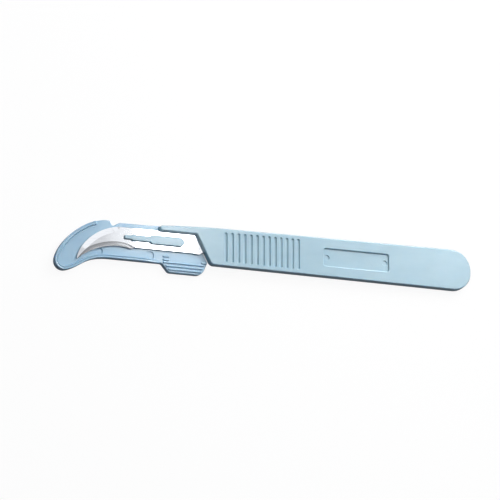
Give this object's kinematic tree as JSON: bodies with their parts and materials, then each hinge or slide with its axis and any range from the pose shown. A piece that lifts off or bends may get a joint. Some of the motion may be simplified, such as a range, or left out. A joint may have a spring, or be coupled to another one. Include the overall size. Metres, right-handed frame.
{
  "type": "disposable scalpel",
  "caption": "Flat moulded scalpel handle with grip grooves, a hook-shaped steel blade seated on a stepped boss, and a push-off moulded guard that covers the blade.",
  "frame": {"origin": "middle of the flat back of the grip", "axes": "+X along the handle towards the rounded butt, with the blade towards -X; +Y across the handle towards the blade's back; +Z out of the grooved and panelled face"},
  "size_m": [0.1468, 0.0194, 0.004],
  "materials": {
    "handle_plastic": "light blue moulded plastic, satin",
    "blade_steel": "bright steel strip with ground faces",
    "guard_plastic": "light blue moulded plastic, satin"
  },
  "bodies": {
    "root": {"handle": "handle_plastic", "blade": "blade_steel", "blade_guard": "guard_plastic"}
  },
  "joints": []
}
